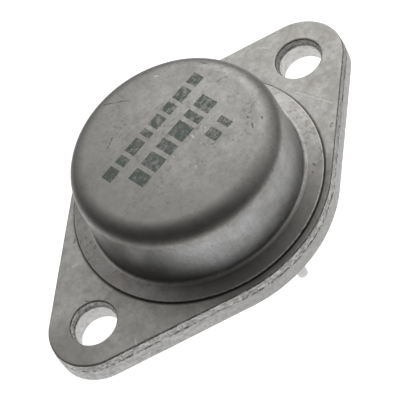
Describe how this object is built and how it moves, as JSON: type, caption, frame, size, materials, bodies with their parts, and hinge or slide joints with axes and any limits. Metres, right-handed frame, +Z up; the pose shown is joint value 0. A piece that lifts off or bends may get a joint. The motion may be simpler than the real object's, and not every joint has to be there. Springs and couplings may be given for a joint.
{
  "type": "power transistor",
  "caption": "Power transistor in a sealed metal can: diamond mounting flange, drawn round cap and glass sealed pins below; the case is the collector.",
  "frame": {"origin": "centre of the flange's underside, on the cap's axis", "axes": "+Z up through the cap, +X along the line of the mounting holes towards the side the pins are set off to, pins apart along Y"},
  "size_m": [0.0386, 0.0244, 0.0208],
  "materials": {
    "flange_steel": "dull plated punched steel, tumbled, with bright sheared edges",
    "cap_steel": "dull plated drawn steel, satin wall and matte top",
    "pin_metal": "tinned nickel iron wire, satin",
    "seal_glass": "opaque dark fused sealing glass",
    "braze": "silver braze",
    "copper": "bare copper",
    "solder": "soft solder",
    "silicon": "metallised silicon",
    "clip_metal": "tinned strip",
    "silicone": "white silicone dab"
  },
  "bodies": {
    "root": {"base_flange": "flange_steel", "cap": "cap_steel", "base_pin": "pin_metal", "emitter_pin": "pin_metal", "base_pin_seal": "seal_glass", "emitter_pin_seal": "seal_glass", "spreader_braze": "braze", "heat_spreader": "copper", "die_solder": "solder", "silicon_die": "silicon", "base_die_solder": "solder", "emitter_die_solder": "solder", "base_clip": "clip_metal", "emitter_clip": "clip_metal", "base_pin_solder": "solder", "emitter_pin_solder": "solder", "junction_coating": "silicone"}
  },
  "joints": []
}
